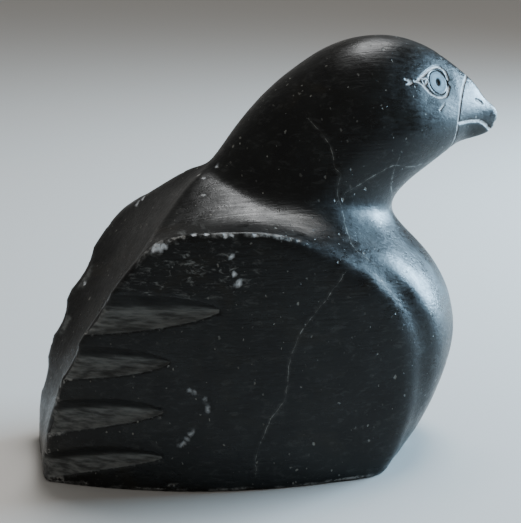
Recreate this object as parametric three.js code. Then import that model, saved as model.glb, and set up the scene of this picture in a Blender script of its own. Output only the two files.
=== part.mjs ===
// Soapstone bird carving: one polished stone, flat underneath, a seated bird
// with its head leaning forward, two broad wings lying against the body and
// four gouged feather grooves at the back edge of each wing.
//
// Millimetres. +X is the way the bird faces, +Y its left side, +Z up.
// The underside is the plane z = 0 and the bounding box is centred on x = y = 0.
//
// The stone is one closed skin. Its form is a field of signed distances put
// together from named sizes: a head and neck, a bill, a breast and trunk, a
// pair of wings, the hollow of the back and the feather grooves, blended as a
// carver rounds one volume into the next. The field is then walked by a
// lattice, and the skin thinned out where it is nearly flat.
import * as THREE from 'three';

// ---------------------------------------------------------------- sizes (mm)
const HEAD = {            // head and neck, seen from the side
  cx: 22.0, cz: 76.0,     // middle of the head
  reach: [                // four tangents: direction in degrees, distance
    { deg: 146.9, d: 24.65 },  // nape
    { deg: 109.3, d: 22.0 },   // crown
    { deg: 51.7, d: 27.05 },   // forehead
    { deg: -55.4, d: 17.4 },   // jaw and throat
  ],
  round: 3.71,            // how softly the tangents run into each other
  halfWidth: 15.5,        // widest half breadth of head and neck
  neckFade: [-44.0, 7.0], // where the neck dies away into the back
  faceFade: [28.0, 7.5],  // where the face narrows toward the bill
  tilt: [0.866, 0.5],     // the long axis of the head leans 30 degrees up
};
const BILL = {
  cx: 47.0, cz: 80.0,
  reach: [
    { deg: 53.7, d: 6.64 }, { deg: -21.2, d: 11.05 }, { deg: -78.9, d: 7.41 },
    { deg: -160, d: 12.0 }, { deg: 135, d: 9.0 },
  ],
  round: 9.0,
  halfWidth: 5.4, taper: 0.37,
};
const TRUNK = {
  cx: -20.0, cz: 28.36,
  reach: 69.49,           // from the middle to the front of the breast
  up: 42.08, upRound: 2.0,
  down: 64.0, downRound: 1.68,
  halfWidth: 27.0,
  facetDeg: 38.0, facetFace: 7.5, facetRound: 14.0, // breast face, half as wide as 2 x 7.5, and its side facets
  roof: 72.0, roofSide: 0.6,        // shoulders falling to the sides
  roofBack: 0.25, roofBreak: -12.4, // and falling to the rear behind the nape
  inset: 2.2,             // the trunk lies this far inside the wings
};
const WING = {
  halfWidth: 29.3, curveBack: 0.0054, curveFront: 0.0030, lean: 0.045,
  cx: -10.0, cz: 27.0, front: 41.7, back: 80.0, top: 32.6, bottom: 41.0,
  topRound: 1.85, bottomRound: 2.4,
  edgeCrisp: 2.0, edgeSoft: 7.5,
  corner: 9.4, cornerSide: 2.8,     // rounding of the upper back corner, a little fuller on the left wing
};
const BACK = {            // the leaning, dished panel between the wings
  x: -53.5, lean: 26.9, height: 60.0, hollow: 5.4,
  wide: 22.0, archFrom: 48.0, archTall: 21.8, archRound: 2.3,  // its top runs up in an arch to the nape
  topSet: 2.4,
};
const GROOVES = [         // one row for each feather groove, from the top down
  { z0: 40.3, z1: 42.6, tip: -14.5, tail: -45.0, half: 4.5, depth: 1.9 },
  { z0: 28.9, z1: 30.8, tip: -25.5, tail: -50.0, half: 3.9, depth: 1.9 },
  { z0: 15.3, z1: 19.3, tip: -27.0, tail: -53.0, half: 3.9, depth: 1.9 },
  { z0: 3.2, z1: 8.4, tip: -27.5, tail: -55.0, half: 3.2, depth: 1.6 },
];
const GROOVE_LEFT = 0.62; // the left wing is gouged less deeply
const BASE_ROUND = 0.8;   // softened arris round the underside
const BLEND = { nape: 4.8, side: 14.4, throat: 17.6 };  // neck into body
const LATTICE = 1.3;      // pitch of the lattice the skin is taken from
const TRIANGLES = 9200;   // facets kept after thinning

// ------------------------------------------------------------------- helpers
const clamp = (v, a, b) => Math.min(b, Math.max(a, v));
const ease = (a, b, t) => { const u = clamp((t - a) / (b - a), 0, 1); return u * u * (3 - 2 * u); };
const logi = (t) => 1 / (1 + Math.exp(-t));
// smooth union and smooth intersection with a blend about k wide
function smin(a, b, k) { const h = Math.max(k - Math.abs(a - b), 0) / k; return Math.min(a, b) - h * h * h * k / 6; }
const smax = (a, b, k) => -smin(-a, -b, k);
// a convex outline bounded by tangents and rounded by the power p
function outline(dx, dz, reach, p) {
  let s = 0;
  for (const r of reach) {
    const a = THREE.MathUtils.degToRad(r.deg);
    const v = (dx * Math.cos(a) + dz * Math.sin(a)) / r.d;
    if (v > 0) s += v ** p;
  }
  return Math.max(s, 1e-9) ** (1 / p);
}

// ------------------------------------------------------------ parts of the form
function head(x, y, z) {
  const dx = x - HEAD.cx, dz = z - HEAD.cz;
  const s = dx * HEAD.tilt[0] + dz * HEAD.tilt[1];
  const g2 = outline(dx, dz, HEAD.reach, HEAD.round) + 0.5 * ease(-38, -54, s);
  const w = Math.max(HEAD.halfWidth * logi((s - HEAD.neckFade[0]) / HEAD.neckFade[1])
    * logi((HEAD.faceFade[0] - s) / HEAD.faceFade[1]), 0.5);
  const g = Math.hypot(g2, y / w);
  return Math.max(Math.hypot(dx, y, dz) * (1 - 1 / Math.max(g, 1e-6)), -12);
}
function bill(x, y, z) {
  const dx = x - BILL.cx, dz = z - BILL.cz;
  const g2 = outline(dx, dz, BILL.reach, BILL.round);
  const w = Math.max(BILL.halfWidth - BILL.taper * dx, 1.0);
  const g = Math.hypot(g2, y / w);
  return Math.max(Math.hypot(dx, y, dz) * (1 - 1 / Math.max(g, 1e-6)), -6);
}
const flank = (x, z) => (WING.halfWidth - (x < 0 ? WING.curveBack : WING.curveFront) * x * x)
  * (1 - WING.lean * ((z - 22) / 38) ** 2);
function tailEdge(x, z, hollow) {
  const s = 2 * BACK.lean * z / BACK.height ** 2;
  return (BACK.x + BACK.lean * (z / BACK.height) ** 2 + hollow - x) / Math.hypot(1, s);
}
function backHollow(x, y, z) {
  const deep = BACK.hollow * ease(3, 36, z) * (1 - 0.55 * ease(44, 70, z));
  const wing = flank(BACK.x + BACK.lean * (z / BACK.height) ** 2, z) - 1;
  const arch = BACK.wide * (1 - clamp((z - BACK.archFrom) / BACK.archTall, 0, 1) ** BACK.archRound) + 0.6;
  const u = Math.abs(y) / smin(wing, arch, 1.5);
  return tailEdge(x, z, deep * clamp(1 - u * u, -0.6, 1) + BACK.topSet * clamp((z - 56) / 14, 0, 1.3) ** 2);
}
function wingOutline(x, z) {
  const dx = x - WING.cx, dz = z - WING.cz;
  const n = dz > 0 ? WING.topRound : WING.bottomRound;
  const a = dx > 0 ? WING.front : WING.back, b = dz > 0 ? WING.top : WING.bottom;
  const g = (Math.abs(dx / a) ** n + Math.abs(dz / b) ** n + 1e-9) ** (1 / n);
  const gx = g ** (1 - n) * Math.abs(dx / a) ** (n - 1) / a;
  const gz = g ** (1 - n) * Math.abs(dz / b) ** (n - 1) / b;
  return (g - 1) / Math.sqrt(gx * gx + gz * gz + 1e-6);
}
function wings(x, y, z) {
  const out = smax(tailEdge(x, z, 0), wingOutline(x, z), WING.corner + WING.cornerSide * clamp(y / 10, -1, 1));
  return smax(Math.abs(y) - flank(x, z), out, WING.edgeCrisp + (WING.edgeSoft - WING.edgeCrisp) * ease(-8, 18, x));
}
function trunk(x, y, z) {
  const dx = x - TRUNK.cx, dz = z - TRUNK.cz, ay = Math.sqrt(y * y + 6) - 0.8;
  const b = dz > 0 ? TRUNK.up : TRUNK.down, n = dz > 0 ? TRUNK.upRound : TRUNK.downRound;
  const g2 = (Math.abs(dx / TRUNK.reach) ** n + Math.abs(dz / b) ** n + 1e-9) ** (1 / n);
  const p = TRUNK.facetRound, a = THREE.MathUtils.degToRad(TRUNK.facetDeg);
  const facetD = TRUNK.reach * Math.cos(a) + TRUNK.facetFace * Math.sin(a);
  const g = (g2 ** p + ((g2 * TRUNK.reach * Math.cos(a) + ay * Math.sin(a)) / facetD) ** p
    + (ay / TRUNK.halfWidth) ** p) ** (1 / p);
  let d = Math.max(Math.hypot(dx, y, dz) * (1 - 1 / Math.max(g, 1e-6)), -14);
  d = smax(d, z - TRUNK.roof + TRUNK.roofSide * ay - TRUNK.roofBack * smin(0, x - TRUNK.roofBreak, 14), 4);
  return smax(d, ay - flank(x, z) + TRUNK.inset, 6);
}
function grooves(x, y, z) {
  const skin = flank(x, z) - Math.abs(y);
  if (skin > 9 || x > -14) return 0;
  let cut = 0;
  for (const g of GROOVES) {
    const t = (x - g.tail) / (g.tip - g.tail);
    if (t >= 1) continue;
    const tc = clamp(t, 0, 1);
    const zc = g.z0 + (g.z1 - g.z0) * (1 - (1 - tc) ** 2);
    const w = g.half * Math.max(1 - tc ** 2.5, 0) ** 0.7 + 1e-3;
    const v = (z - zc) / w;
    cut += g.depth * Math.max(1 - v * v, 0) * Math.min(1, w / g.half + 0.15);
  }
  return cut * ease(9, 5, skin) * (y > 0 ? GROOVE_LEFT : 1);
}
function stone(x, y, z) {
  const top = smin(head(x, y, z), bill(x, y, z), 3);
  let body = smin(wings(x, y, z), trunk(x, y, z), 4) + grooves(x, y, z);
  body = smax(body, backHollow(x, y, z), 2.2 + ease(50, 58, z));
  const blend = BLEND.side + (BLEND.throat - BLEND.side) * ease(12, 30, x) + (BLEND.nape - BLEND.side) * ease(2, -14, x);
  return smax(smin(top, body, blend), -z, BASE_ROUND);
}

// ------------------------------------------------------------------ the skin
// One vertex in each lattice cell the surface crosses, one quad over each
// lattice edge it crosses. Cells are joined face to face, so the skin closes.
function skinOf(field, lo, hi, h) {
  const n = [0, 1, 2].map((i) => Math.ceil((hi[i] - lo[i]) / h) + 1);
  const at = (i, j, k) => (k * n[1] + j) * n[0] + i;
  const f = new Float64Array(n[0] * n[1] * n[2]);
  for (let k = 0; k < n[2]; k++) for (let j = 0; j < n[1]; j++) for (let i = 0; i < n[0]; i++)
    f[at(i, j, k)] = field(lo[0] + i * h, lo[1] + j * h, lo[2] + k * h);
  const id = new Int32Array(f.length).fill(-1);
  const pos = [];
  for (let k = 0; k < n[2] - 1; k++) for (let j = 0; j < n[1] - 1; j++) for (let i = 0; i < n[0] - 1; i++) {
    let sx = 0, sy = 0, sz = 0, c = 0;
    for (let e = 0; e < 12; e++) {
      const ax = e >> 2, u = e & 1, v = (e >> 1) & 1;
      const a = [0, 0, 0]; a[(ax + 1) % 3] = u; a[(ax + 2) % 3] = v;
      const b = a.slice(); b[ax] = 1;
      const fa = f[at(i + a[0], j + a[1], k + a[2])], fb = f[at(i + b[0], j + b[1], k + b[2])];
      if ((fa < 0) === (fb < 0)) continue;
      const t = fa / (fa - fb);
      sx += a[0] + (b[0] - a[0]) * t; sy += a[1] + (b[1] - a[1]) * t; sz += a[2] + (b[2] - a[2]) * t; c++;
    }
    if (!c) continue;
    id[at(i, j, k)] = pos.length;
    pos.push([lo[0] + (i + sx / c) * h, lo[1] + (j + sy / c) * h, lo[2] + (k + sz / c) * h]);
  }
  const tri = [];
  const step = [1, n[0], n[0] * n[1]];
  for (let k = 1; k < n[2] - 1; k++) for (let j = 1; j < n[1] - 1; j++) for (let i = 1; i < n[0] - 1; i++) {
    const o = at(i, j, k);
    for (let ax = 0; ax < 3; ax++) {
      const fa = f[o], fb = f[o + step[ax]];
      if ((fa < 0) === (fb < 0)) continue;
      const du = step[(ax + 1) % 3], dv = step[(ax + 2) % 3];
      const q = [id[o], id[o - du], id[o - du - dv], id[o - dv]];
      if (fa >= 0) q.reverse();
      // split across the shorter diagonal
      const d02 = dist2(pos[q[0]], pos[q[2]]), d13 = dist2(pos[q[1]], pos[q[3]]);
      if (d02 < d13) tri.push([q[0], q[1], q[2]], [q[0], q[2], q[3]]);
      else tri.push([q[1], q[2], q[3]], [q[1], q[3], q[0]]);
    }
  }
  return { pos, tri };
}
const dist2 = (a, b) => (a[0] - b[0]) ** 2 + (a[1] - b[1]) ** 2 + (a[2] - b[2]) ** 2;

// slide each vertex along the gradient until it lies on the surface
function settle(field, pos, most) {
  const e = 0.05;
  for (const p of pos) for (let it = 0; it < 4; it++) {
    const v = field(p[0], p[1], p[2]);
    const g = [
      (field(p[0] + e, p[1], p[2]) - field(p[0] - e, p[1], p[2])) / (2 * e),
      (field(p[0], p[1] + e, p[2]) - field(p[0], p[1] - e, p[2])) / (2 * e),
      (field(p[0], p[1], p[2] + e) - field(p[0], p[1], p[2] - e)) / (2 * e)];
    const s = clamp(v / Math.max(g[0] ** 2 + g[1] ** 2 + g[2] ** 2, 0.05), -most, most);
    p[0] -= g[0] * s; p[1] -= g[1] * s; p[2] -= g[2] * s;
  }
}

// ------------------------------------------------------------------ thinning
// Edges are closed up in order of how little the form changes, measured by the
// squared distances to the planes of the facets that met there.
function thin(pos, tri, keep) {
  const Q = pos.map(() => new Float64Array(10));
  const around = pos.map(() => new Set());
  const alive = new Uint8Array(tri.length).fill(1);
  const normal = (a, b, c) => {
    const u = [b[0] - a[0], b[1] - a[1], b[2] - a[2]], v = [c[0] - a[0], c[1] - a[1], c[2] - a[2]];
    return [u[1] * v[2] - u[2] * v[1], u[2] * v[0] - u[0] * v[2], u[0] * v[1] - u[1] * v[0]];
  };
  tri.forEach((t, k) => {
    const n = normal(pos[t[0]], pos[t[1]], pos[t[2]]), l = Math.hypot(...n) || 1e-12;
    const a = n[0] / l, b = n[1] / l, c = n[2] / l, d = -(a * pos[t[0]][0] + b * pos[t[0]][1] + c * pos[t[0]][2]);
    const w = l / 2;
    const q = [a * a, a * b, a * c, a * d, b * b, b * c, b * d, c * c, c * d, d * d];
    for (const i of t) { around[i].add(k); for (let m = 0; m < 10; m++) Q[i][m] += w * q[m]; }
  });
  const cost = (q, p) => q[0] * p[0] * p[0] + 2 * q[1] * p[0] * p[1] + 2 * q[2] * p[0] * p[2] + 2 * q[3] * p[0]
    + q[4] * p[1] * p[1] + 2 * q[5] * p[1] * p[2] + 2 * q[6] * p[1] + q[7] * p[2] * p[2] + 2 * q[8] * p[2] + q[9];
  const best = (i, j) => {
    const q = Q[i].map((v, m) => v + Q[j][m]);
    const mid = [0, 1, 2].map((m) => (pos[i][m] + pos[j][m]) / 2);
    const len = dist2(pos[i], pos[j]);
    const A = new THREE.Matrix3().set(q[0], q[1], q[2], q[1], q[4], q[5], q[2], q[5], q[7]);
    const tr = (q[0] + q[4] + q[7]) / 3;
    let p = null;
    if (Math.abs(A.determinant()) > 1e-4 * tr ** 3) {
      const v = new THREE.Vector3(-q[3], -q[6], -q[8]).applyMatrix3(A.invert());
      if (dist2([v.x, v.y, v.z], mid) < 2.5 * len) p = [v.x, v.y, v.z];
    }
    if (!p) p = [mid, pos[i], pos[j]].reduce((m, c) => (cost(q, c) < cost(q, m) ? c : m)).slice();
    // a very small share of the length keeps flat areas evenly meshed
    return { q, p, c: Math.max(cost(q, p), 0) + 2e-5 * len * len };
  };
  // binary heap of edges
  const heap = [], stamp = new Int32Array(pos.length);
  const less = (a, b) => a.c < b.c;
  const push = (e) => { let i = heap.push(e) - 1; while (i) { const u = (i - 1) >> 1; if (!less(heap[i], heap[u])) break; [heap[i], heap[u]] = [heap[u], heap[i]]; i = u; } };
  const pop = () => {
    const t = heap[0], l = heap.pop();
    if (heap.length) { heap[0] = l; let i = 0; for (;;) { let s = 2 * i + 1; if (s >= heap.length) break; if (s + 1 < heap.length && less(heap[s + 1], heap[s])) s++; if (!less(heap[s], heap[i])) break; [heap[i], heap[s]] = [heap[s], heap[i]]; i = s; } }
    return t;
  };
  const offer = (i, j) => { const b = best(i, j); push({ i, j, si: stamp[i], sj: stamp[j], ...b }); };
  const ring = (i) => { const s = new Set(); for (const k of around[i]) for (const v of tri[k]) if (v !== i) s.add(v); return s; };
  tri.forEach((t) => { for (let m = 0; m < 3; m++) { const a = t[m], b = t[(m + 1) % 3]; if (a < b) offer(a, b); } });
  let count = tri.length;
  while (count > keep && heap.length) {
    const e = pop();
    if (e.si !== stamp[e.i] || e.sj !== stamp[e.j] || !around[e.i].size || !around[e.j].size) continue;
    const ri = ring(e.i), rj = ring(e.j);
    let shared = 0; for (const v of ri) if (rj.has(v)) shared++;
    if (shared !== 2) continue;
    let ok = true;
    for (const [a, b] of [[e.i, e.j], [e.j, e.i]]) {
      for (const k of around[a]) {
        if (tri[k].includes(b)) continue;
        const now = tri[k].map((v) => pos[v]), then = tri[k].map((v) => (v === a ? e.p : pos[v]));
        const n0 = normal(...now), n1 = normal(...then), l0 = Math.hypot(...n0), l1 = Math.hypot(...n1);
        if (l1 < 1e-3 || (n0[0] * n1[0] + n0[1] * n1[1] + n0[2] * n1[2]) < 0.35 * l0 * l1) { ok = false; break; }
        const long = Math.max(dist2(then[0], then[1]), dist2(then[1], then[2]), dist2(then[2], then[0]));
        if (l1 < 0.06 * long) { ok = false; break; }
      }
      if (!ok) break;
    }
    if (!ok) continue;
    for (const k of [...around[e.j]]) {
      if (tri[k].includes(e.i)) { alive[k] = 0; count--; for (const v of tri[k]) around[v].delete(k); }
      else { tri[k] = tri[k].map((v) => (v === e.j ? e.i : v)); around[e.j].delete(k); around[e.i].add(k); }
    }
    pos[e.i] = e.p; Q[e.i] = e.q; stamp[e.i]++; stamp[e.j]++;
    for (const v of ring(e.i)) offer(Math.min(v, e.i), Math.max(v, e.i));
  }
  const name = new Map(), outPos = [], outTri = [];
  tri.forEach((t, k) => {
    if (!alive[k]) return;
    outTri.push(t.map((v) => { if (!name.has(v)) { name.set(v, outPos.length); outPos.push(pos[v]); } return name.get(v); }));
  });
  return { pos: outPos, tri: outTri };
}

// ------------------------------------------------------------------ assembly
const raw = skinOf(stone, [-58, -32.5, -2.4], [62, 32.5, 101.6], LATTICE);
settle(stone, raw.pos, 0.4);
const skin = thin(raw.pos, raw.tri, TRIANGLES);
for (const p of skin.pos) if (Math.abs(p[2]) < 0.08) p[2] = 0;   // the flat underside
const box = new THREE.Box3().setFromPoints(skin.pos.map((p) => new THREE.Vector3(...p)));
const mid = box.getCenter(new THREE.Vector3());
const geometry = new THREE.BufferGeometry();
geometry.setAttribute('position', new THREE.Float32BufferAttribute(
  skin.pos.flatMap((p) => [p[0] - mid.x, p[1] - mid.y, p[2] - box.min.z]), 3));
geometry.setIndex(skin.tri.flat());

const soapstone = new THREE.MeshStandardMaterial({ color: 0x1d201f, roughness: 0.34, metalness: 0.0 });
const bird = new THREE.Mesh(geometry, soapstone);
bird.name = 'bird_carving';

const carving = new THREE.Group();
carving.add(bird);
export default carving;
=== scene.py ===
# Soapstone bird carving: the looks of the one stone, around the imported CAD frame.
#
# The stone is rebuilt here as one fine mesh from the same field of distances as
# the CAD solid, in millimetres, and then worked over the way the carver did it:
# gouge streaks in the feather grooves, incised eyes, bill line and mouth, chips
# and wear along the edges. What lies in the stone, such as veins and mottling,
# is in its procedural material.
import math

import bpy
import numpy as np
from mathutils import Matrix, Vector


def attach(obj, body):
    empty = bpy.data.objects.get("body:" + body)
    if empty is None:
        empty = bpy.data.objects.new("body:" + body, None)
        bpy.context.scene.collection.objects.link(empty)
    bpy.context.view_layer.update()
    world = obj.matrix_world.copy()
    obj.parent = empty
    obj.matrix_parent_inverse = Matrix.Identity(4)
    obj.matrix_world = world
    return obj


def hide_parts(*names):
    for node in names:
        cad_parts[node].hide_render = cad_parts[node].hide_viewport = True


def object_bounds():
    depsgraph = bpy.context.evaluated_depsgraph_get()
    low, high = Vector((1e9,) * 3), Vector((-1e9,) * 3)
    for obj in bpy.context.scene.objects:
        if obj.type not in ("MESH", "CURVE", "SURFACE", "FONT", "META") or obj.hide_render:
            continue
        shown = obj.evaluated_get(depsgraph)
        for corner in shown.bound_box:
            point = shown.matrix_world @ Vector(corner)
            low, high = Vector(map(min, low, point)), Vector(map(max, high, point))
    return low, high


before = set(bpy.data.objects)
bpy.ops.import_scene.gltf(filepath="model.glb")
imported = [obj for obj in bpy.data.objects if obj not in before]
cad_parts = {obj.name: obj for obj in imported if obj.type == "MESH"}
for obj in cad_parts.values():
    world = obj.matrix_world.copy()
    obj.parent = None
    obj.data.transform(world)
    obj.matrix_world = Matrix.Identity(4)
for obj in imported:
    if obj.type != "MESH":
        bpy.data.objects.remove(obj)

CAD_LO, CAD_HI = [list(v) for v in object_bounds()]

# ------------------------------------------------------------------ sizes (mm)
HEAD = dict(
    cx=22.0, cz=76.0,
    reach=((146.9, 24.65), (109.3, 22.0), (51.7, 27.05), (-55.4, 17.4)),
    round=3.71, half=15.5, neck=(-44.0, 7.0), face=(28.0, 7.5), tilt=(0.866, 0.5),
)
BILL = dict(
    cx=47.0, cz=80.0,
    reach=((53.7, 6.64), (-21.2, 11.05), (-78.9, 7.41), (-160.0, 12.0), (135.0, 9.0)),
    round=9.0, half=5.4, taper=0.37,
)
TRUNK = dict(
    cx=-20.0, cz=28.36, reach=69.49, up=42.08, up_round=2.0, down=64.0, down_round=1.68,
    half=27.0, facet_deg=38.0, facet_face=7.5, facet_round=14.0,
    roof=72.0, roof_side=0.6, roof_back=0.25, roof_break=-12.4, inset=2.2,
)
WING = dict(
    half=29.3, curve_back=0.0054, curve_front=0.0030, lean=0.045,
    cx=-10.0, cz=27.0, front=41.7, back=80.0, top=32.6, bottom=41.0,
    top_round=1.85, bottom_round=2.4, crisp=2.0, soft=7.5, corner=9.4, corner_side=2.8,
)
BACK = dict(
    x=-53.5, lean=26.9, height=60.0, hollow=5.4,
    wide=22.0, arch_from=48.0, arch_tall=21.8, arch_round=2.3, top_set=2.4,
)
GROOVES = (  # height at the tail end, height at the tip, tip x, tail x, half width, depth
    (40.3, 42.6, -14.5, -45.0, 4.5, 1.9),
    (28.9, 30.8, -25.5, -50.0, 3.9, 1.9),
    (15.3, 19.3, -27.0, -53.0, 3.9, 1.9),
    (3.2, 8.4, -27.5, -55.0, 3.2, 1.6),
)
GROOVE_LEFT = 0.62
BASE_ROUND = 0.8
BLEND = dict(nape=4.8, side=14.4, throat=17.6)
PITCH = 0.78


# --------------------------------------------------------------- the same field
def smin(a, b, k):
    h = np.maximum(k - np.abs(a - b), 0.0) / k
    return np.minimum(a, b) - h * h * h * k / 6.0


def smax(a, b, k):
    return -smin(-a, -b, k)


def ease(a, b, t):
    u = np.clip((t - a) / (b - a), 0, 1)
    return u * u * (3 - 2 * u)


def logi(t):
    return 1 / (1 + np.exp(-t))


def outline(dx, dz, reach, p):
    s = 0.0
    for deg, d in reach:
        a = math.radians(deg)
        s = s + np.maximum(0, (dx * math.cos(a) + dz * math.sin(a)) / d) ** p
    return np.maximum(s, 1e-9) ** (1 / p)


def head(x, y, z):
    dx, dz = x - HEAD["cx"], z - HEAD["cz"]
    s = dx * HEAD["tilt"][0] + dz * HEAD["tilt"][1]
    g2 = outline(dx, dz, HEAD["reach"], HEAD["round"]) + 0.5 * ease(-38, -54, s)
    w = np.maximum(HEAD["half"] * logi((s - HEAD["neck"][0]) / HEAD["neck"][1])
                   * logi((HEAD["face"][0] - s) / HEAD["face"][1]), 0.5)
    g = np.hypot(g2, y / w)
    r = np.sqrt(dx * dx + y * y + dz * dz)
    return np.maximum(r * (1 - 1 / np.maximum(g, 1e-6)), -12)


def bill(x, y, z):
    dx, dz = x - BILL["cx"], z - BILL["cz"]
    g2 = outline(dx, dz, BILL["reach"], BILL["round"])
    w = np.maximum(BILL["half"] - BILL["taper"] * dx, 1.0)
    g = np.hypot(g2, y / w)
    r = np.sqrt(dx * dx + y * y + dz * dz)
    return np.maximum(r * (1 - 1 / np.maximum(g, 1e-6)), -6)


def flank(x, z):
    return (WING["half"] - np.where(x < 0, WING["curve_back"], WING["curve_front"]) * x * x) \
        * (1 - WING["lean"] * ((z - 22) / 38) ** 2)


def tail_edge(x, z, hollow):
    s = 2 * BACK["lean"] * z / BACK["height"] ** 2
    return (BACK["x"] + BACK["lean"] * (z / BACK["height"]) ** 2 + hollow - x) / np.sqrt(1 + s * s)


def back_half(z):
    wing = flank(BACK["x"] + BACK["lean"] * (z / BACK["height"]) ** 2, z) - 1
    up = np.clip((z - BACK["arch_from"]) / BACK["arch_tall"], 0, 1)
    return smin(wing, BACK["wide"] * (1 - up ** BACK["arch_round"]) + 0.6, 1.5)


def back_hollow(x, y, z):
    deep = BACK["hollow"] * ease(3, 36, z) * (1 - 0.55 * ease(44, 70, z))
    u = np.abs(y) / back_half(z)
    top = BACK["top_set"] * np.clip((z - 56) / 14, 0, 1.3) ** 2
    return tail_edge(x, z, deep * np.clip(1 - u * u, -0.6, 1) + top)


def wing_outline(x, z):
    dx, dz = x - WING["cx"], z - WING["cz"]
    n = np.where(dz > 0, WING["top_round"], WING["bottom_round"])
    a = np.where(dx > 0, WING["front"], WING["back"])
    b = np.where(dz > 0, WING["top"], WING["bottom"])
    g = (np.abs(dx / a) ** n + np.abs(dz / b) ** n + 1e-9) ** (1 / n)
    gx = g ** (1 - n) * np.abs(dx / a) ** (n - 1) / a
    gz = g ** (1 - n) * np.abs(dz / b) ** (n - 1) / b
    return (g - 1) / np.sqrt(gx * gx + gz * gz + 1e-6)


def wings(x, y, z):
    corner = WING["corner"] + WING["corner_side"] * np.clip(y / 10, -1, 1)
    out = smax(tail_edge(x, z, 0.0), wing_outline(x, z), corner)
    k = WING["crisp"] + (WING["soft"] - WING["crisp"]) * ease(-8, 18, x)
    return smax(np.abs(y) - flank(x, z), out, k)


def trunk(x, y, z):
    dx, dz, ay = x - TRUNK["cx"], z - TRUNK["cz"], np.sqrt(y * y + 6) - 0.8
    b = np.where(dz > 0, TRUNK["up"], TRUNK["down"])
    n = np.where(dz > 0, TRUNK["up_round"], TRUNK["down_round"])
    g2 = (np.abs(dx / TRUNK["reach"]) ** n + np.abs(dz / b) ** n + 1e-9) ** (1 / n)
    p, a = TRUNK["facet_round"], math.radians(TRUNK["facet_deg"])
    facet = TRUNK["reach"] * math.cos(a) + TRUNK["facet_face"] * math.sin(a)
    g = (g2 ** p + ((g2 * TRUNK["reach"] * math.cos(a) + ay * math.sin(a)) / facet) ** p
         + (ay / TRUNK["half"]) ** p) ** (1 / p)
    r = np.sqrt(dx * dx + y * y + dz * dz)
    d = np.maximum(r * (1 - 1 / np.maximum(g, 1e-6)), -14)
    fall = TRUNK["roof_back"] * smin(0 * x, x - TRUNK["roof_break"], 14.0)
    d = smax(d, z - TRUNK["roof"] + TRUNK["roof_side"] * ay - fall, 4.0)
    return smax(d, ay - flank(x, z) + TRUNK["inset"], 6.0)


def groove_parts(x, z):
    """For each groove: how deep it is here, from 0 to 1, the place across it from -1 to 1, and the place along it."""
    parts = []
    for z0, z1, tip, tail, half, depth in GROOVES:
        t = (x - tail) / (tip - tail)
        tc = np.clip(t, 0, 1)
        zc = z0 + (z1 - z0) * (1 - (1 - tc) ** 2)
        w = half * np.maximum(1 - tc ** 2.5, 0) ** 0.7 + 1e-3
        v = (z - zc) / w
        q = np.maximum(1 - v * v, 0) * np.minimum(1, w / half + 0.15) * (t < 1)
        parts.append((q, v, t, depth))
    return parts


def grooves(x, y, z):
    cut = sum(depth * q for q, v, t, depth in groove_parts(x, z))
    return cut * ease(9, 5, flank(x, z) - np.abs(y)) * np.where(y > 0, GROOVE_LEFT, 1.0)


def field(x, y, z):
    top = smin(head(x, y, z), bill(x, y, z), 3.0)
    body = smin(wings(x, y, z), trunk(x, y, z), 4.0) + grooves(x, y, z)
    body = smax(body, back_hollow(x, y, z), 2.2 + ease(50, 58, z))
    k = BLEND["side"] + (BLEND["throat"] - BLEND["side"]) * ease(12, 30, x) \
        + (BLEND["nape"] - BLEND["side"]) * ease(2, -14, x)
    return smax(smin(top, body, k), -z, BASE_ROUND)


def slope(p, e=0.05):
    g = np.empty_like(p)
    for i in range(3):
        d = np.zeros(3)
        d[i] = e
        g[:, i] = (field(*(p + d).T) - field(*(p - d).T)) / (2 * e)
    return g


def settle(p, rounds=3, most=0.5):
    for _ in range(rounds):
        g = slope(p)
        s = field(*p.T) / np.maximum((g * g).sum(1), 0.05)
        p = p - g * np.clip(s, -most, most)[:, None]
    return p


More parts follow.
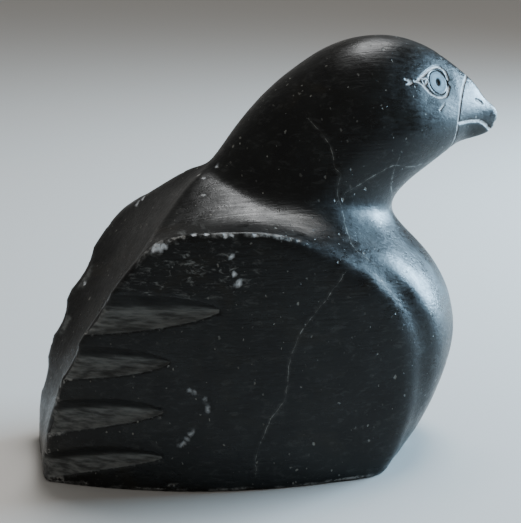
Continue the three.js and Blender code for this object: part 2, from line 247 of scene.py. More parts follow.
# ------------------------------------------------------------------- the skin
def skin_of(lo, hi, h):
    n = [int(math.ceil((hi[i] - lo[i]) / h)) + 1 for i in range(3)]
    ax = [lo[i] + h * np.arange(n[i]) for i in range(3)]
    F = np.empty(n)
    for i in range(0, n[0], 16):
        X, Y, Z = np.meshgrid(ax[0][i:i + 16], ax[1], ax[2], indexing="ij")
        F[i:i + 16] = field(X, Y, Z)
    S = F < 0
    full = sum(S[i:n[0] - 1 + i, j:n[1] - 1 + j, k:n[2] - 1 + k].astype(np.int8)
               for i in (0, 1) for j in (0, 1) for k in (0, 1))
    cell = np.argwhere((full > 0) & (full < 8))
    ident = np.full([v - 1 for v in n], -1, np.int64)
    ident[tuple(cell.T)] = np.arange(len(cell))
    at, count = np.zeros((len(cell), 3)), np.zeros(len(cell))
    for a in range(3):
        b, c = (a + 1) % 3, (a + 2) % 3
        for u in (0, 1):
            for v in (0, 1):
                o0 = np.zeros(3, int)
                o0[b], o0[c] = u, v
                o1 = o0.copy()
                o1[a] = 1
                f0, f1 = F[tuple((cell + o0).T)], F[tuple((cell + o1).T)]
                m = (f0 < 0) != (f1 < 0)
                t = np.where(m, f0 / np.where(m, f0 - f1, 1), 0)
                spot = o0[None, :] + np.outer(t, o1 - o0)
                at[m] += spot[m]
                count[m] += 1
    V = np.array(lo) + (cell + at / count[:, None]) * h
    tris = []
    for a in range(3):
        b, c = (a + 1) % 3, (a + 2) % 3
        cut = [slice(1, n[i] - 1) for i in range(3)]
        nxt = list(cut)
        nxt[a] = slice(2, n[a])
        s0, s1 = S[tuple(cut)], S[tuple(nxt)]
        at0 = np.argwhere(s0 != s1) + 1
        inside = S[tuple(at0.T)]
        db, dc = np.zeros(3, int), np.zeros(3, int)
        db[b], dc[c] = 1, 1
        q = np.stack([ident[tuple((at0 - o).T)] for o in (0 * db, db, db + dc, dc)], 1)
        q[~inside] = q[~inside][:, ::-1]
        short = ((V[q[:, 0]] - V[q[:, 2]]) ** 2).sum(1) < ((V[q[:, 1]] - V[q[:, 3]]) ** 2).sum(1)
        s, l = q[short], q[~short]
        tris += [s[:, [0, 1, 2]], s[:, [0, 2, 3]], l[:, [1, 2, 3]], l[:, [1, 3, 0]]]
    return V, np.concatenate(tris)


def edges_of(T):
    E = np.sort(np.concatenate([T[:, [0, 1]], T[:, [1, 2]], T[:, [2, 0]]]), 1)
    E, inv = np.unique(E, axis=0, return_inverse=True)
    return E, inv.reshape(3, -1).T


def refine(V, T, want):
    """Halves each edge whose two ends are wanted, and settles the new points on the form."""
    E, te = edges_of(T)
    cut = want[E[:, 0]] & want[E[:, 1]]
    mid = np.full(len(E), -1)
    mid[cut] = len(V) + np.arange(cut.sum())
    V = np.concatenate([V, settle((V[E[cut, 0]] + V[E[cut, 1]]) / 2, 2)])
    M = mid[te]
    k = (M >= 0).sum(1)
    out = [T[k == 0]]
    A, B = T[k == 3], M[k == 3]
    out += [np.stack(c, 1) for c in ((A[:, 0], B[:, 0], B[:, 2]), (B[:, 0], A[:, 1], B[:, 1]),
                                     (B[:, 2], B[:, 1], A[:, 2]), (B[:, 0], B[:, 1], B[:, 2]))]
    for r in range(3):
        sel = (k == 1) & (M[:, r] >= 0)
        a, b, c, m = T[sel, r], T[sel, (r + 1) % 3], T[sel, (r + 2) % 3], M[sel, r]
        out += [np.stack((a, m, c), 1), np.stack((m, b, c), 1)]
    return V, np.concatenate(out)


def normals_of(V, T):
    n = np.cross(V[T[:, 1]] - V[T[:, 0]], V[T[:, 2]] - V[T[:, 0]])
    N = np.zeros_like(V)
    for i in range(3):
        np.add.at(N, T[:, i], n)
    return N / np.maximum(np.linalg.norm(N, axis=1, keepdims=True), 1e-12)


def around(E, v, n):
    """Mean of a value over each point's neighbours."""
    s = np.zeros((n,) + v.shape[1:])
    c = np.zeros(n)
    for a, b in ((0, 1), (1, 0)):
        np.add.at(s, E[:, a], v[E[:, b]])
        np.add.at(c, E[:, a], 1)
    return s / (c[:, None] if v.ndim > 1 else c)


# ------------------------------------------------------------------- noise
def noise(p, seed):
    """Smooth value noise from -1 to 1, one lump for each unit of p."""
    i = np.floor(p).astype(np.int64)
    f = p - i
    f = f * f * f * (f * (f * 6 - 15) + 10)
    total = 0.0
    for a in (0, 1):
        for b in (0, 1):
            for c in (0, 1):
                h = ((i[:, 0] + a) * 73856093) ^ ((i[:, 1] + b) * 19349663) ^ ((i[:, 2] + c) * 83492791) ^ (seed * 2654435)
                h = (h & 0xFFFFFFFF).astype(np.uint64)
                h = (h ^ (h >> np.uint64(13))) * np.uint64(0x5BD1E995) & np.uint64(0xFFFFFFFF)
                h = (h ^ (h >> np.uint64(15))) * np.uint64(0x27D4EB2F) & np.uint64(0xFFFFFFFF)
                h = (h ^ (h >> np.uint64(14))).astype(float) / 4294967295.0
                w = (f[:, 0] if a else 1 - f[:, 0]) * (f[:, 1] if b else 1 - f[:, 1]) * (f[:, 2] if c else 1 - f[:, 2])
                total = total + w * h
    return total * 2 - 1


# ------------------------------------------------------- marks on the surface
# Places are in the stone's own frame before it is centred; the right side is
# the side of negative y. Marks of the face are cut alike on both sides.
EYE = dict(at=(40.5, -6.9, 87.8), ring=2.85, pupil=(0.72, 0.95))
LID_UP = ((33.9, -9.6, 88.5), (34.7, -9.3, 88.6), (36.3, -8.1, 89.6), (38.5, -6.5, 90.7), (41.0, -4.8, 91.1),
          (42.9, -4.3, 89.9), (43.5, -5.2, 88.2))
LID_LOW = ((33.9, -9.6, 88.5), (34.9, -9.3, 88.2), (36.5, -9.1, 87.0), (38.0, -9.1, 85.5), (39.9, -8.6, 84.5),
           (42.2, -7.4, 84.6), (43.4, -5.9, 86.5))
CANTHUS = ((35.9, -8.6, 88.9), (37.5, -7.9, 88.7), (36.5, -8.9, 87.6), (35.9, -8.6, 88.9))
NICK = ((31.5, -10.2, 89.1), (33.0, -10.0, 88.4), (31.4, -10.8, 87.8))
BILL_LINE = ((49.4, 0.0, 88.4), (49.1, -1.8, 87.9), (48.0, -3.5, 86.5), (47.0, -5.2, 84.4), (46.2, -6.3, 82.2),
             (45.8, -6.9, 80.0), (45.5, -7.1, 78.4), (45.5, -6.8, 76.5), (45.4, -5.9, 74.4), (45.2, -4.0, 72.6),
             (45.0, 0.0, 71.6))
MOUTH = ((45.9, -6.9, 78.1), (49.5, -4.5, 78.1), (52.7, -2.7, 77.7), (54.7, -1.6, 76.5), (55.9, -0.7, 75.4), (56.3, 0.0, 75.2))
NOSTRIL = ((51.4, -3.0, 82.8), (52.4, -2.4, 82.4), (53.6, -1.9, 81.6))
CHEEK = ((40.1, -9.7, 81.7), (41.7, -8.4, 83.1))

VEINS = (
    ((8.7, -12.2, 80.8), (11.7, -14.2, 77.0), (13.2, -14.7, 74.3), (13.8, -15.2, 70.3), (15.0, -15.3, 68.7),
     (14.5, -15.4, 65.3), (14.7, -15.6, 63.0), (15.4, -16.7, 60.2), (15.4, -19.5, 57.9), (15.4, -22.9, 55.5),
     (16.9, -24.4, 53.0), (20.8, -24.7, 49.9)),
    ((14.7, -15.6, 63.0), (17.5, -14.8, 65.0), (20.0, -14.4, 66.0), (22.4, -14.0, 67.4), (24.8, -13.7, 68.6),
     (28.6, -12.8, 70.0), (33.0, -10.6, 68.9), (36.0, -8.8, 68.9), (39.4, -6.1, 69.0)),
    ((29.2, -13.2, 71.1), (28.7, -12.7, 69.2), (28.4, -11.7, 66.7), (28.6, -10.2, 64.3), (29.7, -7.8, 61.9),
     (30.3, -5.6, 59.0), (27.5, -9.9, 57.7), (25.1, -13.7, 56.3)),
    ((12.4, -28.2, 48.6), (9.0, -28.6, 44.4), (3.3, -29.1, 37.3), (0.4, -29.3, 30.7), (-0.7, -29.3, 22.1),
     (-3.4, -29.2, 17.6), (-5.6, -29.1, 13.0), (-7.2, -28.9, 8.2), (-7.1, -28.8, 4.3)),
)
CHIPS = (  # place, radius, depth
    ((-27.9, -23.9, 56.2), 1.3, 0.35), ((-26.3, -24.6, 56.6), 1.0, 0.30), ((-19.6, -25.2, 59.1), 0.6, 0.2),
    ((-17.3, -25.8, 59.2), 0.55, 0.2), ((-13.3, -26.9, 59.0), 0.6, 0.2), ((-12.0, -27.1, 59.0), 0.5, 0.15),
    ((-7.1, -27.6, 58.9), 0.45, 0.15), ((-27.3, 15.4, 57.6), 0.7, 0.2), ((-26.0, 14.3, 59.0), 0.8, 0.25),
    ((-40.6, 14.7, 38.4), 0.6, 0.2), ((-10.9, -3.6, 69.8), 0.6, 0.15), ((-14.2, -6.1, 67.4), 0.45, 0.12),
    ((-15.2, -10.9, 64.7), 0.45, 0.12), ((-12.1, -27.7, 54.1), 0.6, 0.12), ((-10.9, -28.1, 48.6), 0.9, 0.15),
    ((-11.6, -28.0, 50.6), 0.5, 0.1), ((21.7, -27.5, 3.8), 0.6, 0.2), ((28.2, -26.8, 20.3), 0.45, 0.1),
    ((17.7, -28.2, 38.4), 0.35, 0.08), ((7.8, -29.1, 20.2), 0.35, 0.08),
)
SCRATCHES = (
    ((-24.3, -26.2, 11.0), (-22.6, -26.7, 12.4), (-20.8, -27.0, 15.1)),
    ((-18.3, -27.6, 22.2), (-17.9, -27.7, 20.6), (-17.7, -27.7, 19.4)),
    ((-21.5, -26.9, 24.5), (-20.6, -27.2, 23.9)),
)
SMEARS = (((-22.0, -26.0, 53.0), 7.0), ((-12.5, -27.6, 51.0), 5.0), ((-28.0, -24.0, 48.0), 5.5))


def thread(points, step=0.2):
    """A smooth line through the points, laid on the surface, with the way it runs at each step."""
    P = np.array(points, float)
    P = np.concatenate([[2 * P[0] - P[1]], P, [2 * P[-1] - P[-2]]])
    out = []
    for i in range(1, len(P) - 2):
        n = max(2, int(np.linalg.norm(P[i + 1] - P[i]) / step))
        t = (np.arange(n) / n)[:, None]
        a, b, c, d = P[i - 1], P[i], P[i + 1], P[i + 2]
        out.append(0.5 * (2 * b + (c - a) * t + (2 * a - 5 * b + 4 * c - d) * t ** 2 + (3 * b - a - 3 * c + d) * t ** 3))
    L = settle(np.concatenate(out + [P[-2:-1]]), 3, 1.5)
    way = np.gradient(L, axis=0)
    return L, way / np.maximum(np.linalg.norm(way, axis=1, keepdims=True), 1e-9)


def nearest(P, N, line, reach):
    """Distance to the line, signed by the side it is on, and the share of the line's length; far points keep the reach."""
    L, way = line
    d = np.full(len(P), float(reach))
    side, along = np.ones(len(P)), np.zeros(len(P))
    near = np.where(((P > L.min(0) - reach) & (P < L.max(0) + reach)).all(1))[0]
    for s in range(0, len(near), 4000):
        i = near[s:s + 4000]
        D = ((P[i, None, :] - L[None]) ** 2).sum(2)
        j = D.argmin(1)
        off = P[i] - L[j]
        off = off - (off * way[j]).sum(1, keepdims=True) * way[j] * ((j > 0) & (j < len(L) - 1))[:, None]
        d[i] = np.linalg.norm(off, axis=1)
        side[i] = np.sign((np.cross(way[j], N[i]) * off).sum(1))
        along[i] = j / (len(L) - 1)
    return np.minimum(d, reach), side, along


# ---------------------------------------------------------------- the fine mesh
V, T = skin_of((-55.5, -31.0, -1.44), (60.0, 31.0, 100.0), PITCH)
V = settle(V, 3)
face_lines = [thread(l) for l in (LID_UP, LID_LOW, CANTHUS, NICK, BILL_LINE, MOUTH, NOSTRIL, CHEEK)]


def folded(P):
    """The same place on the right side."""
    return np.stack([P[:, 0], -np.abs(P[:, 1]), P[:, 2]], 1)


def groove_mask(P):
    x, y, z = P.T
    return sum(q for q, v, t, depth in groove_parts(x, z)) * ease(9, 5, flank(x, z) - np.abs(y)) \
        * (np.abs(y) > 6) * ease(-56, -50, x + 0 * y)


def curl_of(V, T, rounds=1):
    """How sharply the form turns: above zero on ridges, below zero in hollows, in 1/mm."""
    N, (E, _) = normals_of(V, T), edges_of(T)
    lap = around(E, V, len(V)) - V
    size = around(E, np.zeros(len(V)), len(V)) * 0 + 1e-9
    d2 = ((V[E[:, 0]] - V[E[:, 1]]) ** 2).sum(1)
    c = np.zeros(len(V))
    for a in (0, 1):
        np.add.at(size, E[:, a], d2)
        np.add.at(c, E[:, a], 1)
    k = -(lap * N).sum(1) / (size / np.maximum(c, 1)) * 4
    for _ in range(rounds):
        k = 0.5 * k + 0.5 * around(E, k, len(V))
    return k


P = folded(V)
edge = np.abs(curl_of(V, T)) > 0.32
want = (groove_mask(V) > 0.02) | (edge & (V[:, 2] > 0.4))
want |= np.linalg.norm(P - np.array(EYE["at"]), axis=1) < 9.0
for line in face_lines:
    want |= nearest(P, normals_of(V, T), line, 3.0)[0] < 1.6
V, T = refine(V, T, want)
P = folded(V)
want = np.linalg.norm(P - np.array(EYE["at"]), axis=1) < 3.9
for line in face_lines:
    want |= nearest(P, normals_of(V, T), line, 3.0)[0] < 0.85
V, T = refine(V, T, want)
E, _ = edges_of(T)
for _ in range(2):   # even out the triangles without leaving the form
    N = normals_of(V, T)
    lap = around(E, V, len(V)) - V
    lap -= (lap * N).sum(1, keepdims=True) * N
    V = V + 0.5 * lap * (V[:, 2:3] > 0.05)
    V = settle(V, 1)
N = slope(V)
N /= np.linalg.norm(N, axis=1, keepdims=True)
P, PN = folded(V), N * np.stack([np.ones(len(V)), np.where(V[:, 1] > 0, -1, 1), np.ones(len(V))], 1)
curl = curl_of(V, T, 2)
x, y, z = V.T
lift = np.zeros(len(V))
chalk = np.zeros(len(V))

# the carver's hand: slow undulation of the worked surfaces
free = ease(0.3, 2.5, z)
lift += free * (0.10 * noise(V / 9.0, 3) + 0.035 * noise(V / 3.4, 5))

# feather grooves: lengthwise gouge streaks
gouge = np.clip(groove_mask(V), 0, 1) * ease(0.30, 0.62, np.abs(N[:, 1]))
painted_groove_light = np.zeros(len(V))   # painted light: the lower half of each groove, facing the light above, is painted brightest; the upper half is left as painted shade
for q, v, t, depth in groove_parts(x, z):
    m = np.clip(q * 3, 0, 1) * (np.abs(y) > 6)
    lines = noise(np.stack([t * 1.2, v * 5.0, np.sign(y) * 9 + 0 * t], 1), 11) \
        + 0.5 * noise(np.stack([t * 2.0, v * 11.0, np.sign(y) * 9 + 0 * t], 1), 12)
    lift += 0.045 * m * lines
    painted_groove_light = np.maximum(painted_groove_light, (np.abs(v) < 1.25) * (t < 1.05) * ease(0.80, -0.35, v))

# eyes: a ring cut round a flat iris, a drilled pupil
c = np.array(EYE["at"])
c = settle(c[None], 4)[0]
n = slope(c[None])[0]
n /= np.linalg.norm(n)
u = np.array([1.0, 0, 0]) - n[0] * n
u /= np.linalg.norm(u)
w = np.cross(n, u) * (1 if np.cross(n, u)[2] > 0 else -1)
a, b = (P - c) @ u, (P - c) @ w
r = np.where(np.abs((P - c) @ n) < 3, np.hypot(a, b), 99.0)
ring = np.exp(-((r - EYE["ring"]) / 0.24) ** 2)
iris = ease(EYE["ring"] - 0.1, EYE["ring"] - 0.5, r)
pr = np.hypot(a / EYE["pupil"][0], b / EYE["pupil"][1])
pupil = ease(1.25, 0.85, pr)
lift += -0.22 * ring - 0.12 * iris - 0.35 * ease(1.3, 0.4, pr)
rim = np.exp(-((r - EYE["ring"] + 0.62) / 0.16) ** 2)

# incised lines of the face
for line, wide, deep, white in zip(face_lines, (0.30, 0.28, 0.24, 0.30, 0.24, 0.34, 0.30, 0.22),
                                   (0.22, 0.20, 0.16, 0.20, 0.18, 0.22, 0.24, 0.12),
                                   (1.0, 1.0, 0.9, 0.8, 0.85, 1.0, 0.9, 0.7)):
    d, side, along = nearest(P, PN, line, 3.0)
    taper = 1 - 0.7 * ease(0.75, 1.0, along) * (len(line[0]) < 60)
    cut = np.exp(-(d / (wide * taper)) ** 2)
    lift -= deep * cut * taper
    ragged = 1 + 0.35 * noise(P / 0.5, 21)
    chalk = np.maximum(chalk, white * ease(1.0, 0.45, d / (wide * 1.25 * taper * ragged)))

# chips and the small nicks along the edges
for k, (at, radius, deep) in enumerate(CHIPS):
    d = np.linalg.norm(V - settle(np.array([at], float), 4, 1.5), axis=1) / radius
    d = d * (1.25 + 0.55 * noise(V / 0.8, 31 + k)) + 0.22 * noise(V / 0.4, 61)
    lift -= deep * ease(1.0, 0.3, d)
    chalk = np.maximum(chalk, 0.95 * ease(1.05, 0.7, d))
wear = ease(0.16, 0.75, curl)
for q, v, t, depth in groove_parts(x, z):   # groove edges stay dark, but for a little on the lower one
    by = ease(1.7, 1.25, np.abs(v)) * ease(1.14, 1.04, t) * ease(0.10, 0.22, t) * (np.abs(y) > 6) * (np.abs(y) > flank(x, z) - 3)
    wear *= 1 - by * np.where(v > 0, 0.97, 0.7)
nick = ease(0.35, 0.75, noise(V / 1.3, 41)) * wear * ease(0.0, 0.5, z)
lift -= 0.16 * nick
rim_chip = ease(3.2, 0.6, z) * ease(0.25, 0.6, noise(V * (1 / 4.2, 1 / 4.2, 1 / 2.6), 43)) * ease(0.1, 0.6, z)
lift -= 0.28 * rim_chip
for s in SCRATCHES:
    d, side, along = nearest(V, N, thread(s), 2.0)
    lift -= 0.05 * np.exp(-(d / 0.3) ** 2)
    chalk = np.maximum(chalk, 0.5 * ease(0.34, 0.1, d))

smear = np.zeros(len(V))
for at, radius in SMEARS:
    smear = np.maximum(smear, np.exp(-(np.linalg.norm(V - np.array(at), axis=1) / radius) ** 2))

side_a, side_b = np.full((len(V), 3), 9.0), np.full((len(V), 3), 9.0)
near_a, near_b = np.zeros((len(V), 3)), np.zeros((len(V), 3))
for k, points in enumerate(VEINS):
    d, side, along = nearest(V, N, thread(points, 0.3), 6.0)
    into, close = (side_a, near_a) if k < 3 else (side_b, near_b)
    into[:, k % 3] = d * side
    close[:, k % 3] = ease(1.7, 1.0, d)

V = V + N * lift[:, None]
mid = (V.min(0) + V.max(0)) / 2
shift = np.array([mid[0], 0.0, 0.0])
V = (V - shift) / 1000.0
V = np.clip(V, np.array(CAD_LO), np.array(CAD_HI))
V[np.abs(V[:, 2]) < 8e-5, 2] = 0.0

mesh = bpy.data.meshes.new("bird_stone")
mesh.from_pydata(V.tolist(), [], T.tolist())
mesh.update()
mesh.polygons.foreach_set("use_smooth", np.ones(len(T), bool))
bird = bpy.data.objects.new("bird_stone", mesh)
bpy.context.scene.collection.objects.link(bird)
# the groove mask stored here is painted light: bright on the lower half of each groove, painted shade on the upper
# half
for name, value in dict(chalk=chalk, gouge=gouge, groove_painted_light=painted_groove_light, iris=iris, pupil=pupil, eye_ring=ring, eye_rim=rim * iris,
                        wear=wear, nick=np.maximum(nick, rim_chip), smear=smear, curl=curl).items():
    mesh.attributes.new(name, "FLOAT", "POINT").data.foreach_set("value", value.astype(np.float32))
for name, value in dict(vein_a=side_a, vein_b=side_b, close_a=near_a, close_b=near_b).items():
    mesh.attributes.new(name, "FLOAT_VECTOR", "POINT").data.foreach_set("vector", value.astype(np.float32).ravel())
print("bird_stone", len(V), "points", len(T), "triangles, moved", shift)


# ------------------------------------------------------------------- material
class Nodes:
    def __init__(self, material):
        material.use_nodes = True
        self.tree = material.node_tree
        self.tree.nodes.clear()

    def add(self, kind, settings=None, **inputs):
        node = self.tree.nodes.new(kind)
        for k, v in (settings or {}).items():
            setattr(node, k, v)
        for k, v in inputs.items():
            self.put(node.inputs[int(k[1:])] if k[0] == "_" and k[1:].isdigit() else node.inputs[k.replace("_", " ")], v)
        return node

    def put(self, socket, v):
        if isinstance(v, bpy.types.NodeSocket):
            self.tree.links.new(v, socket)
        else:
            socket.default_value = v

    def math(self, op, a, b=0.0, c=None, clamp=False):
        node = self.add("ShaderNodeMath", dict(operation=op, use_clamp=clamp), _0=a, _1=b)
        if c is not None:
            self.put(node.inputs[2], c)
        return node.outputs[0]

    def ease(self, v, a, b, to0=0.0, to1=1.0):
        node = self.add("ShaderNodeMapRange", dict(interpolation_type="SMOOTHSTEP"))
        for k, s in enumerate((v, a, b, to0, to1)):
            self.put(node.inputs[k], s)
        return node.outputs[0]

    def noise(self, at, scale, detail=3.0, rough=0.55, distort=0.0):
        return self.add("ShaderNodeTexNoise", None, Vector=at, Scale=scale, Detail=detail, Roughness=rough, Distortion=distort).outputs[0]

    def mix(self, fac, a, b):
        node = self.add("ShaderNodeMix", dict(data_type="RGBA"))
        self.put(node.inputs[0], fac)
        self.put(node.inputs[6], a)
        self.put(node.inputs[7], b)
        return node.outputs[2]

    def bend(self, at, scale, far):
        turn = self.add("ShaderNodeTexNoise", None, Vector=at, Scale=scale, Detail=2.0).outputs[1]
        low = self.add("ShaderNodeVectorMath", dict(operation="SUBTRACT"), _0=turn, _1=(0.5, 0.5, 0.5))
        low = self.add("ShaderNodeVectorMath", dict(operation="SCALE"), _0=low.outputs[0])
        low.inputs["Scale"].default_value = far * 2
        return self.add("ShaderNodeVectorMath", dict(operation="ADD"), _0=at, _1=low.outputs[0]).outputs[0]

    def held(self, name, out="Fac"):
        return self.add("ShaderNodeAttribute", dict(attribute_name=name)).outputs[out]

    def stretch(self, at, turn, scale):
        node = self.add("ShaderNodeMapping", None, Vector=at)
        node.inputs["Rotation"].default_value = [math.radians(v) for v in turn]
        node.inputs["Scale"].default_value = scale
        return node.outputs[0]


def grey(v, r=1.0, g=1.0, b=1.0):
    return (v * r, v * g, v * b, 1.0)


def stone_material():
    m = bpy.data.materials.new("black_soapstone")
    n = Nodes(m)
    at = n.add("ShaderNodeTexCoord").outputs["Object"]
    chalk, gouge = n.held("chalk"), n.held("gouge")
    wear, nick, smear = n.held("wear"), n.held("nick"), n.held("smear")
    iris, pupil, ring, rim = n.held("iris"), n.held("pupil"), n.held("eye_ring"), n.held("eye_rim")

    # the body of the stone: near black, clouded with green and brown
    cloud = n.noise(at, 95.0, 4.0, 0.6, 0.4)
    brown = n.noise(n.stretch(at, (20, 0, 35), (1, 1, 1.4)), 60.0, 3.0, 0.6, 0.8)
    fine = n.noise(at, 620.0, 4.0, 0.65)
    col = n.mix(n.ease(cloud, 0.40, 0.68), grey(0.0035, 0.98, 1.03, 1.0), grey(0.0085, 0.95, 1.05, 0.94))
    col = n.mix(n.ease(brown, 0.54, 0.74, 0.0, 0.6), col, (0.016, 0.0130, 0.0068, 1))
    col = n.mix(n.ease(fine, 0.52, 0.76, 0.0, 0.5), col, grey(0.020, 0.97, 1.03, 0.97))

    # light grains and flecks in it
    specks = None
    for scale, size, share, turn in ((520.0, 0.22, 0.83, 0), (1150.0, 0.30, 0.75, 40), (300.0, 0.11, 0.84, 75)):
        v = n.add("ShaderNodeTexVoronoi", dict(feature="F1"), Vector=n.stretch(n.bend(at, 900.0, 0.0005), (turn, turn, 0), (1, 1, 0.75)), Scale=scale, Randomness=1.0)
        pick = n.add("ShaderNodeSeparateColor", None, Color=v.outputs["Color"])
        rad = n.math("MULTIPLY", n.ease(pick.outputs[0], share, 1.0), size)
        spot = n.ease(n.math("SUBTRACT", rad, v.outputs["Distance"]), -0.02, 0.06)
        spot = n.math("MULTIPLY", spot, n.ease(pick.outputs[1], 0.2, 1.0, 0.08, 0.9))
        specks = spot if specks is None else n.math("MAXIMUM", specks, spot)
    col = n.mix(specks, col, grey(0.20, 1.02, 1.0, 0.90))

    # veins: one pale crack for each line laid on the stone
    wander = n.math("MULTIPLY", n.math("SUBTRACT", n.noise(at, 420.0, 3.0), 0.5), 0.9)
    vein = None
    for name, close, count in (("vein_a", "close_a", 3), ("vein_b", "close_b", 1)):
        d = n.add("ShaderNodeSeparateXYZ", None, Vector=n.held(name, "Vector"))
        c = n.add("ShaderNodeSeparateXYZ", None, Vector=n.held(close, "Vector"))
        for k in range(count):
            off = n.math("ABSOLUTE", n.math("ADD", d.outputs[k], wander))
            width = n.ease(n.noise(at, 180.0, 2.0), 0.35, 0.7, 0.04, 0.15)
            line = n.math("MULTIPLY", n.ease(n.math("DIVIDE", off, width), 1.3, 0.5), c.outputs[k])
            halo = n.math("MULTIPLY", n.ease(off, 0.8, 0.1, 0.0, 0.14), c.outputs[k])
            line = n.math("MAXIMUM", line, halo)
            vein = line if vein is None else n.math("MAXIMUM", vein, line)
    broken = n.ease(n.noise(at, 700.0, 2.0), 0.40, 0.62, 0.12, 0.80)
    col = n.mix(n.math("MULTIPLY", vein, broken), col, grey(0.27, 1.0, 1.0, 0.93))

    # smeared, dusty patches and faint whitish scuffs
    patch = n.noise(n.stretch(at, (0, 35, 0), (1, 1, 2.2)), 330.0, 4.0, 0.7, 0.5)
    scuff = n.math("MULTIPLY", n.ease(patch, 0.52, 0.70), n.math("ADD", n.math("MULTIPLY", smear, 0.95), 0.10), clamp=True)
    col = n.mix(scuff, col, grey(0.22, 0.98, 1.0, 0.96))

    # gouged grooves: matt, paler, streaked along their length, with painted light on the lower half of each groove and
    # painted shade, near black, on the upper half
    streak = n.noise(n.stretch(at, (0, -4, 0), (55.0, 500.0, 1300.0)), 1.0, 3.0, 0.55)
    # painted light and shade: the lower half of each groove keeps the pale gouge tone, the upper half is painted near
    # black as shade
    groove_light_paint = n.ease(n.held("groove_painted_light"), 0.1, 0.95)
    gouge_tone_and_painted_shade = n.mix(n.ease(streak, 0.30, 0.72), grey(0.060, 0.99, 1.02, 0.98), grey(0.20, 0.99, 1.02, 0.98))
    gouge_tone_and_painted_shade = n.mix(n.ease(groove_light_paint, 0.0, 1.0, 0.08, 1.0), grey(0.012), gouge_tone_and_painted_shade)
    in_gouge = n.ease(gouge, 0.0, 0.10)
    col = n.mix(n.math("MULTIPLY", in_gouge, 0.92), col, gouge_tone_and_painted_shade)

    # worn edges and chips, rubbed to white stone powder
    grain = n.noise(at, 900.0, 3.0, 0.7)
    gap = n.noise(at, 150.0, 3.0, 0.6)
    worn = n.math("MULTIPLY", n.ease(wear, 0.25, 0.9), n.ease(gap, 0.42, 0.62))
    worn = n.math("MULTIPLY", worn, n.ease(grain, 0.38, 0.60, 0.15, 1.0))
    col = n.mix(n.math("MULTIPLY", worn, 0.75), col, grey(0.30, 1.0, 1.0, 0.97))
    nicked = n.math("MULTIPLY", n.ease(nick, 0.25, 0.75), n.ease(grain, 0.40, 0.58))
    col = n.mix(n.math("MULTIPLY", nicked, 0.7), col, grey(0.34, 1.0, 0.99, 0.95))

    # eyes and incised lines
    col = n.mix(n.math("MULTIPLY", iris, n.ease(fine, 0.3, 0.7, 0.80, 1.0)), col, grey(0.34, 0.74, 1.0, 1.18))
    col = n.mix(n.math("MULTIPLY", rim, 0.55), col, grey(0.10, 0.85, 1.0, 1.15))
    col = n.mix(n.math("MAXIMUM", pupil, n.math("MULTIPLY", ring, 0.85)), col, grey(0.012))
    white = n.math("MULTIPLY", chalk, n.ease(n.noise(at, 1400.0, 3.0, 0.7), 0.32, 0.52, 0.45, 1.0))
    col = n.mix(white, col, grey(0.72, 0.96, 1.0, 1.03))

    # gloss: hand polish with sanding marks, dull where cut or rubbed
    hatch = n.noise(n.stretch(at, (8, 42, 5), (120.0, 1150.0, 1300.0)), 1.0, 3.0, 0.6)
    brush = n.noise(n.stretch(at, (0, -12, 0), (110.0, 1300.0, 1300.0)), 1.0, 3.0, 0.6)
    rough = n.ease(n.noise(at, 140.0, 4.0, 0.6), 0.3, 0.7, 0.27, 0.40)
    rough = n.math("ADD", rough, n.math("MULTIPLY", n.math("SUBTRACT", hatch, 0.5), 0.34))
    dull = n.math("MAXIMUM", n.math("MULTIPLY", in_gouge, 0.9), n.math("MAXIMUM", chalk, iris))
    dull = n.math("MAXIMUM", dull, n.math("MAXIMUM", n.math("MULTIPLY", worn, 0.6), n.math("MULTIPLY", scuff, 0.7)), clamp=True)
    rough = n.math("ADD", rough, n.math("MULTIPLY", dull, 0.42), clamp=True)

    # fine relief under the light
    b1 = n.add("ShaderNodeBump", None, Strength=0.50, Distance=0.00012, Height=n.math("ADD", hatch, n.math("MULTIPLY", brush, 0.7)))
    b2 = n.add("ShaderNodeBump", None, Strength=0.35, Distance=0.00012, Height=n.noise(at, 900.0, 5.0, 0.7), Normal=b1.outputs[0])
    pits = n.math("SUBTRACT", n.math("MULTIPLY", n.math("MULTIPLY", streak, in_gouge), 1.6), n.math("ADD", specks, white))
    b3 = n.add("ShaderNodeBump", None, Strength=0.6, Distance=0.00016, Height=pits, Normal=b2.outputs[0])

    p = n.add("ShaderNodeBsdfPrincipled", None, Base_Color=col, Roughness=rough, Normal=b3.outputs[0])
    p.inputs["IOR"].default_value = 1.50
    out = n.add("ShaderNodeOutputMaterial", None, Surface=p.outputs[0])
    return m


mesh.materials.append(stone_material())
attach(bird, "root")
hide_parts("bird_carving")

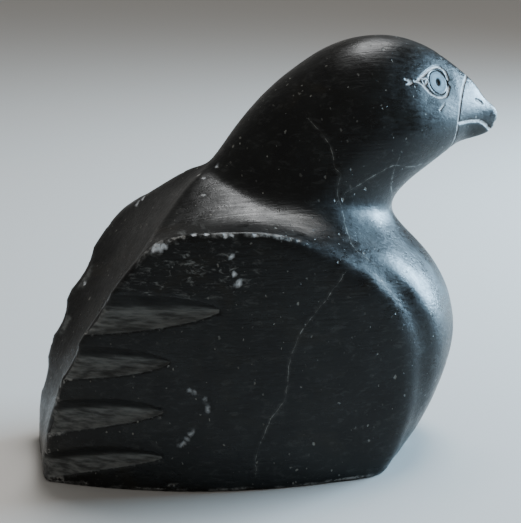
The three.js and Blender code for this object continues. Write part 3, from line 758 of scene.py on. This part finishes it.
# ------------------------------------------------------------ floor, light, camera
floor_mesh = bpy.data.meshes.new("floor")
floor_mesh.from_pydata([(-6, -6, 0), (6, -6, 0), (6, 6, 0), (-6, 6, 0)], [], [(0, 1, 2, 3)])
floor = bpy.data.objects.new("floor", floor_mesh)
floor.location.z = -0.00005
bpy.context.scene.collection.objects.link(floor)
fm = bpy.data.materials.new("pale_floor")
fn = Nodes(fm)
fp = fn.add("ShaderNodeBsdfPrincipled", None, Base_Color=(0.62, 0.60, 0.57, 1), Roughness=0.75)
fn.add("ShaderNodeOutputMaterial", None, Surface=fp.outputs[0])
floor_mesh.materials.append(fm)

world = bpy.data.worlds.new("studio")
world.use_nodes = True
world.node_tree.nodes["Background"].inputs[0].default_value = (0.88, 0.87, 0.85, 1)
world.node_tree.nodes["Background"].inputs[1].default_value = 0.32
bpy.context.scene.world = world


def lamp(name, at, aim, size, power, colour):
    data = bpy.data.lights.new(name, "AREA")
    data.shape, data.size, data.size_y = "RECTANGLE", size[0], size[1]
    data.energy, data.color = power, colour
    o = bpy.data.objects.new(name, data)
    o.location = at
    o.rotation_mode = "QUATERNION"
    o.rotation_quaternion = (Vector(aim) - Vector(at)).to_track_quat("-Z", "Y")
    bpy.context.scene.collection.objects.link(o)
    return o


middle = (0.0, 0.0, 0.045)
lamp("window", (0.62, 0.09, 0.20), middle, (0.40, 0.27), 11.0, (0.52, 0.77, 1.0))
lamp("ceiling", (0.20, 0.20, 0.80), middle, (0.34, 0.30), 3.6, (0.98, 0.99, 1.0))

AZ, EL, FAR_AWAY, AIM = -12.0, 15.0, 0.310, (-shift[0] / 1000.0, 0.0, 0.0454)
az, el = math.radians(AZ), math.radians(EL)
back = Vector((math.sin(az) * math.cos(el), -math.cos(az) * math.cos(el), math.sin(el)))
camera = bpy.data.objects.new("camera", bpy.data.cameras.new("camera"))
camera.data.sensor_width = 36.0
camera.data.lens = 36.0 * 1304.0 / 523.0
camera.data.clip_start, camera.data.clip_end = 0.01, 50.0
camera.location = Vector(AIM) + back * FAR_AWAY
camera.rotation_mode = "QUATERNION"
camera.rotation_quaternion = back.to_track_quat("Z", "Y")
bpy.context.scene.collection.objects.link(camera)
bpy.context.scene.camera = camera

bpy.context.scene.view_settings.look = "AgX - Medium High Contrast"
